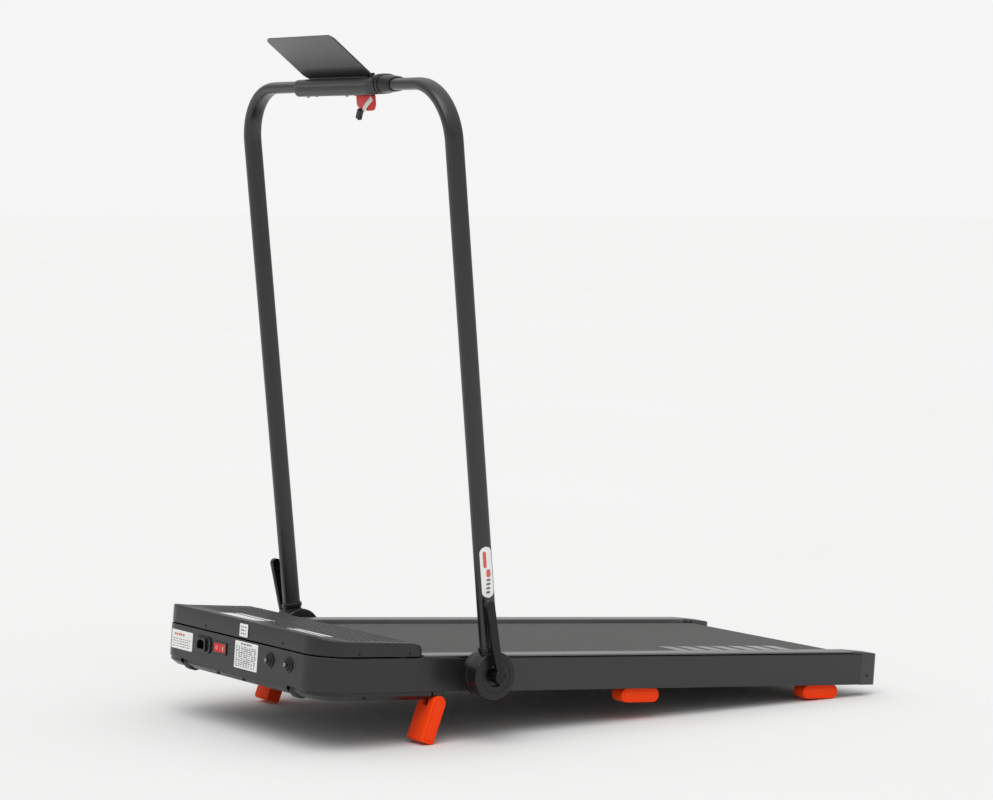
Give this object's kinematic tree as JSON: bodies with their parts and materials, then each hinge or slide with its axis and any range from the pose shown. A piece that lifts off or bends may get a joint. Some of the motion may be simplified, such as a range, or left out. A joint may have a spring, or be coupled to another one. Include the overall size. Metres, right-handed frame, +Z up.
{
  "type": "treadmill",
  "caption": "Flat under-desk treadmill on fold-down incline feet, with a foldable U-shaped handle, handle console, tablet rest, safety key and powered belt.",
  "frame": {"origin": "on the floor, midway between the breaker studs at the front and the end caps at the rear, on the middle plane", "axes": "+X to the right of someone looking from the front of the machine towards its rear, +Y from the motor end to the rear, +Z up"},
  "size_m": [0.7252, 1.2716, 1.231],
  "materials": {
    "painted_steel": "satin powder coat",
    "frame_steel": "satin",
    "housing_plastic": "fine grain",
    "black_plastic": "matte",
    "grey_plastic": "matte",
    "orange_plastic": "semi-gloss",
    "red_plastic": "semi-gloss",
    "belt_rubber": "textured",
    "deck_board": "fibreboard",
    "bare_steel": "turned",
    "controller_aluminium": "extruded",
    "webbing": "woven"
  },
  "bodies": {
    "deck": {"front_band": "housing_plastic", "motor_cover": "housing_plastic", "bottom_pan": "black_plastic", "power_inlet": "black_plastic", "switch_bezel": "black_plastic", "breaker_left": "black_plastic", "breaker_right": "black_plastic", "frame_tube_left": "frame_steel", "frame_tube_right": "frame_steel", "cross_tube_front": "frame_steel", "cross_tube_middle": "frame_steel", "cross_tube_rear": "frame_steel", "side_rail_left": "painted_steel", "side_rail_right": "painted_steel", "foot_rail_left": "housing_plastic", "foot_rail_right": "housing_plastic", "end_cap_left": "black_plastic", "end_cap_right": "black_plastic", "tension_bolt_left": "bare_steel", "tension_bolt_right": "bare_steel", "middle_foot_left": "orange_plastic", "middle_foot_right": "orange_plastic", "rear_foot_left": "orange_plastic", "rear_foot_right": "orange_plastic", "incline_lug_left": "black_plastic", "incline_lug_right": "black_plastic", "running_belt": "belt_rubber", "deck_board": "deck_board", "drive_motor": "bare_steel", "motor_bracket": "frame_steel", "drive_belt": "belt_rubber", "motor_controller": "controller_aluminium", "hinge_base_left": "black_plastic", "hinge_base_right": "black_plastic"},
    "handle": {"hinge_hub_left": "black_plastic", "hinge_hub_right": "black_plastic", "handle_tube": "painted_steel", "console_lower": "black_plastic", "console_upper": "black_plastic", "tablet_plate": "painted_steel", "grip_collar": "black_plastic"},
    "front_roller": {"front_roller": "bare_steel"},
    "rear_roller": {"rear_roller": "bare_steel"},
    "motor_pulley": {"motor_pulley": "bare_steel"},
    "transport_wheel_left": {"transport_wheel_left": "black_plastic"},
    "transport_wheel_right": {"transport_wheel_right": "black_plastic"},
    "incline_foot_left": {"incline_foot_left": "orange_plastic"},
    "incline_foot_right": {"incline_foot_right": "orange_plastic"},
    "lock_lever_left": {"lock_lever_left": "black_plastic"},
    "lock_lever_right": {"lock_lever_right": "black_plastic"},
    "power_rocker": {"power_rocker": "red_plastic"},
    "breaker_button_left": {"breaker_button_left": "black_plastic"},
    "breaker_button_right": {"breaker_button_right": "black_plastic"},
    "start_button": {"start_button": "grey_plastic"},
    "slower_button": {"slower_button": "grey_plastic"},
    "faster_button": {"faster_button": "grey_plastic"},
    "key": {"safety_key": "red_plastic", "key_strap": "webbing", "key_clip": "black_plastic"}
  },
  "joints": [
    {"name": "handle_fold", "type": "hinge", "parent": "deck", "child": "handle", "pos_m": [0, -0.30782, 0.12176], "axis": [-1, 0, 0], "range_deg": [0, 98]},
    {"name": "front_roller_spin", "type": "hinge", "parent": "deck", "child": "front_roller", "pos_m": [0, -0.43767, 0.1284], "axis": [1, 0, 0], "continuous": true},
    {"name": "rear_roller_spin", "type": "hinge", "parent": "deck", "child": "rear_roller", "pos_m": [0, 0.5838, 0.05643], "axis": [1, 0, 0], "continuous": true},
    {"name": "motor_spin", "type": "hinge", "parent": "deck", "child": "motor_pulley", "pos_m": [0, -0.53939, 0.13607], "axis": [1, 0, 0], "continuous": true},
    {"name": "transport_wheel_left_spin", "type": "hinge", "parent": "deck", "child": "transport_wheel_left", "pos_m": [-0.184, -0.60889, 0.10287], "axis": [1, 0, 0], "continuous": true},
    {"name": "transport_wheel_right_spin", "type": "hinge", "parent": "deck", "child": "transport_wheel_right", "pos_m": [0.184, -0.60889, 0.10287], "axis": [1, 0, 0], "continuous": true},
    {"name": "incline_foot_left_fold", "type": "hinge", "parent": "deck", "child": "incline_foot_left", "pos_m": [-0.2585, -0.38411, 0.07049], "axis": [1, 0, 0], "range_deg": [0, 106]},
    {"name": "incline_foot_right_fold", "type": "hinge", "parent": "deck", "child": "incline_foot_right", "pos_m": [0.2585, -0.38411, 0.07049], "axis": [1, 0, 0], "range_deg": [0, 106]},
    {"name": "lock_lever_left_turn", "type": "hinge", "parent": "handle", "child": "lock_lever_left", "pos_m": [-0.3431, -0.30782, 0.12176], "axis": [1, 0, 0], "range_deg": [0, 70]},
    {"name": "lock_lever_right_turn", "type": "hinge", "parent": "handle", "child": "lock_lever_right", "pos_m": [0.3431, -0.30782, 0.12176], "axis": [1, 0, 0], "range_deg": [0, 70]},
    {"name": "power_rocker_tip", "type": "hinge", "parent": "deck", "child": "power_rocker", "pos_m": [-0.056, -0.62553, 0.14414], "axis": [0, 0.0703, 0.9975], "range_deg": [-10, 0]},
    {"name": "breaker_button_left_press", "type": "slide", "parent": "deck", "child": "breaker_button_left", "axis": [0, 0.9975, -0.0703], "range_m": [0, 0.003], "stiffness_N_per_m": 150},
    {"name": "breaker_button_right_press", "type": "slide", "parent": "deck", "child": "breaker_button_right", "axis": [0, 0.9975, -0.0703], "range_m": [0, 0.003], "stiffness_N_per_m": 150},
    {"name": "start_button_press", "type": "slide", "parent": "handle", "child": "start_button", "axis": [0, -0.9951, -0.0993], "range_m": [0, 0.0012], "stiffness_N_per_m": 250},
    {"name": "slower_button_press", "type": "slide", "parent": "handle", "child": "slower_button", "axis": [0, -0.9951, -0.0993], "range_m": [0, 0.0012], "stiffness_N_per_m": 250},
    {"name": "faster_button_press", "type": "slide", "parent": "handle", "child": "faster_button", "axis": [0, -0.9951, -0.0993], "range_m": [0, 0.0012], "stiffness_N_per_m": 250},
    {"name": "safety_key_pull", "type": "slide", "parent": "handle", "child": "key", "axis": [0, 0.0993, -0.9951], "range_m": [0, 0.02]}
  ],
  "couplings": [
    {"joint": "rear_roller_spin", "follows": "front_roller_spin", "ratio": 1},
    {"joint": "motor_spin", "follows": "front_roller_spin", "ratio": 1.8571}
  ]
}
